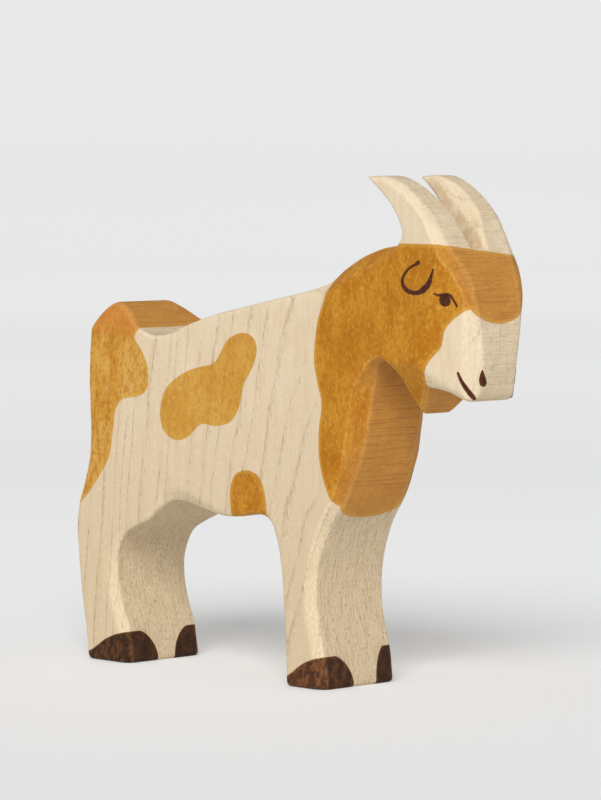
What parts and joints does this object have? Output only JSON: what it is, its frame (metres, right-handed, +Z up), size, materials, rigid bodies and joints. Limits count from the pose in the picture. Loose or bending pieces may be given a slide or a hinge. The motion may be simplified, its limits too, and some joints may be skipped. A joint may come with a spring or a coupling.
{
  "type": "wooden goat figure",
  "caption": "Standing billy goat carved from one sawn board, with shaved edges, stained neck, tail and patches, brown hooves and a brushed face.",
  "frame": {"origin": "on the ground, under the middle of the figure's length and width", "axes": "+X is the way the goat looks, +Y is its left, +Z is up"},
  "size_m": [0.1366, 0.026, 0.1237],
  "materials": {
    "bare_wood": "bare sanded pale hardwood, lightly oiled, satin",
    "ochre_stain": "ochre water stain, grain showing through, satin",
    "hoof_paint": "dark brown stain, rubbed through along the edges",
    "line_paint": "dark brown brushed line, matt"
  },
  "bodies": {
    "root": {"wood_figure": "bare_wood", "head_and_neck_stain": "ochre_stain", "tail_stain": "ochre_stain", "flank_patch_right": "ochre_stain", "flank_patch_left": "ochre_stain", "belly_patch_right": "ochre_stain", "belly_patch_left": "ochre_stain", "front_hoof_paint_right": "hoof_paint", "front_hoof_paint_left": "hoof_paint", "rear_hoof_paint_right": "hoof_paint", "rear_hoof_paint_left": "hoof_paint", "ear_line_right": "line_paint", "ear_line_left": "line_paint", "eye_right": "line_paint", "eye_left": "line_paint", "eyelid_line_right": "line_paint", "eyelid_line_left": "line_paint", "mouth_line_right": "line_paint", "mouth_line_left": "line_paint", "nostril_right": "line_paint", "nostril_left": "line_paint"}
  },
  "joints": []
}
